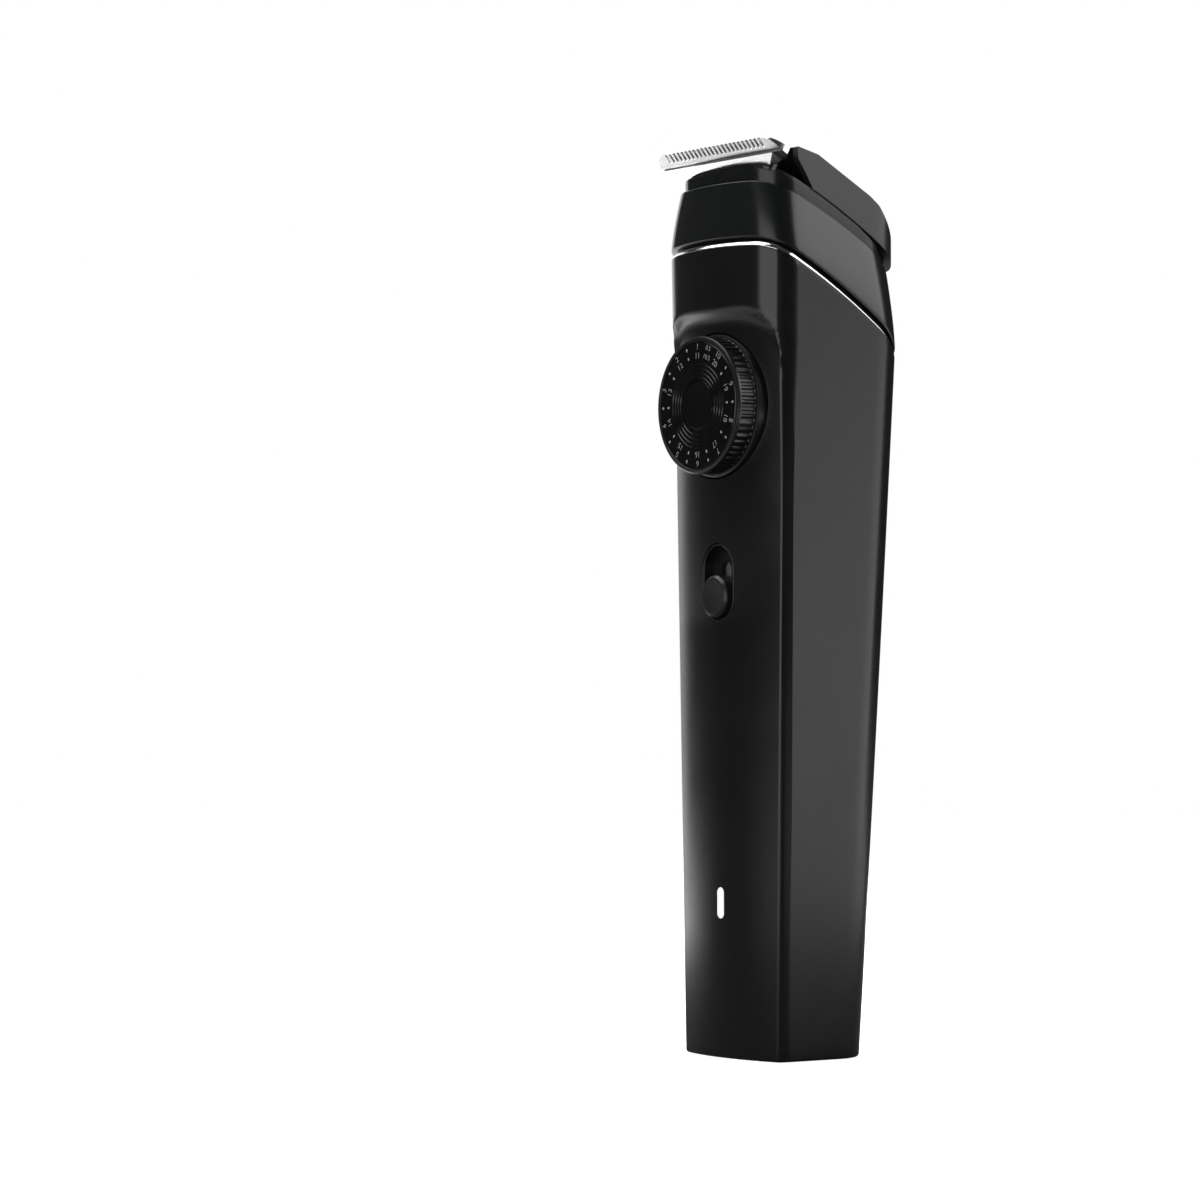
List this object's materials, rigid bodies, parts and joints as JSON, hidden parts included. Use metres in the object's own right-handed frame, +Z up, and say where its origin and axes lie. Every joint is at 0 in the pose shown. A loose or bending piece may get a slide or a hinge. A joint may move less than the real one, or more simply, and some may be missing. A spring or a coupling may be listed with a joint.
{
  "type": "cordless hair clipper",
  "caption": "Slim cordless hair and beard clipper with a wide toothed blade, a length dial, a slide switch and a slanted bright trim ring.",
  "frame": {"origin": "middle of the foot, on the face that it stands on", "axes": "+Z up along the body towards the blade, -Y towards the dial side, +X towards the right of someone facing the dial"},
  "size_m": [0.037, 0.0379, 0.1679],
  "materials": {
    "body_black": "satin black moulded plastic",
    "collar_black": "gloss black moulded plastic",
    "hood_grey": "satin charcoal moulded plastic",
    "mechanism_black": "matte black plastic",
    "ring_chrome": "polished bright plating",
    "blade_steel": "ground and polished steel",
    "cutter_steel": "dark ground steel",
    "spring_steel": "bare spring steel",
    "screw_steel": "zinc plated screws",
    "can_steel": "plated motor can",
    "dial_black": "satin black plastic",
    "face_black": "printed gloss black disc",
    "button_black": "satin black plastic",
    "light_white": "milky white light pipe",
    "chassis_grey": "grey moulded frame",
    "board_green": "solder mask",
    "chip_black": "moulded chips",
    "cell_blue": "sleeved cell",
    "contact_brass": "plated tabs",
    "gear_natural": "natural acetal"
  },
  "bodies": {
    "housing": {"body_shell": "body_black", "bottom_cap": "body_black", "trim_ring": "ring_chrome", "head_collar": "collar_black", "chassis": "chassis_grey", "chassis_screws": "screw_steel", "circuit_board": "board_green", "board_screws": "screw_steel", "control_chips": "chip_black", "usb_socket": "can_steel", "usb_tongue": "chip_black", "led_chip": "light_white", "led_light_pipe": "light_white", "battery_cell": "cell_blue", "battery_contacts": "contact_brass", "motor_can": "can_steel", "motor_end_cap": "gear_natural", "motor_bracket": "can_steel", "motor_screws": "screw_steel", "switch_body": "chip_black", "switch_bezel": "mechanism_black", "dial_detent_spring": "spring_steel", "carriage_guide": "chassis_grey"},
    "rotor": {"motor_shaft": "can_steel", "eccentric_cam": "gear_natural"},
    "length_dial": {"dial_knob": "dial_black", "dial_face": "face_black", "dial_cap": "face_black", "dial_shaft": "gear_natural", "dial_clip": "spring_steel"},
    "comb_lift": {"comb_carriage": "chassis_grey"},
    "power_switch": {"power_button": "button_black", "button_slider": "chassis_grey"},
    "blade_head": {"neck_ring": "collar_black", "blade_carrier": "mechanism_black", "fixed_blade": "blade_steel", "blade_spring": "spring_steel", "blade_screws": "screw_steel", "head_hood": "hood_grey"},
    "cutter": {"moving_blade": "cutter_steel", "drive_fork": "gear_natural"}
  },
  "joints": [
    {"name": "motor_spin", "type": "hinge", "parent": "housing", "child": "rotor", "pos_m": [0, 0.0065, 0.12], "axis": [0, 0, 1], "continuous": true},
    {"name": "dial_turn", "type": "hinge", "parent": "housing", "child": "length_dial", "pos_m": [0, -0.0126, 0.1198], "axis": [0, 1, 0], "range_deg": [-18, 324]},
    {"name": "comb_slide", "type": "slide", "parent": "housing", "child": "comb_lift", "axis": [0, 0, 1], "range_m": [-0.0005, 0.009]},
    {"name": "switch_slide", "type": "slide", "parent": "housing", "child": "power_switch", "axis": [0, 0, 1], "range_m": [0, 0.005]},
    {"name": "head_lift", "type": "slide", "parent": "housing", "child": "blade_head", "axis": [0, 0, 1], "range_m": [0, 0.016]},
    {"name": "blade_stroke", "type": "slide", "parent": "blade_head", "child": "cutter", "axis": [1, 0, 0], "range_m": [-0.001, 0.001]}
  ],
  "couplings": [
    {"joint": "comb_slide", "follows": "dial_turn", "m_per_rad": 0.0015915}
  ]
}
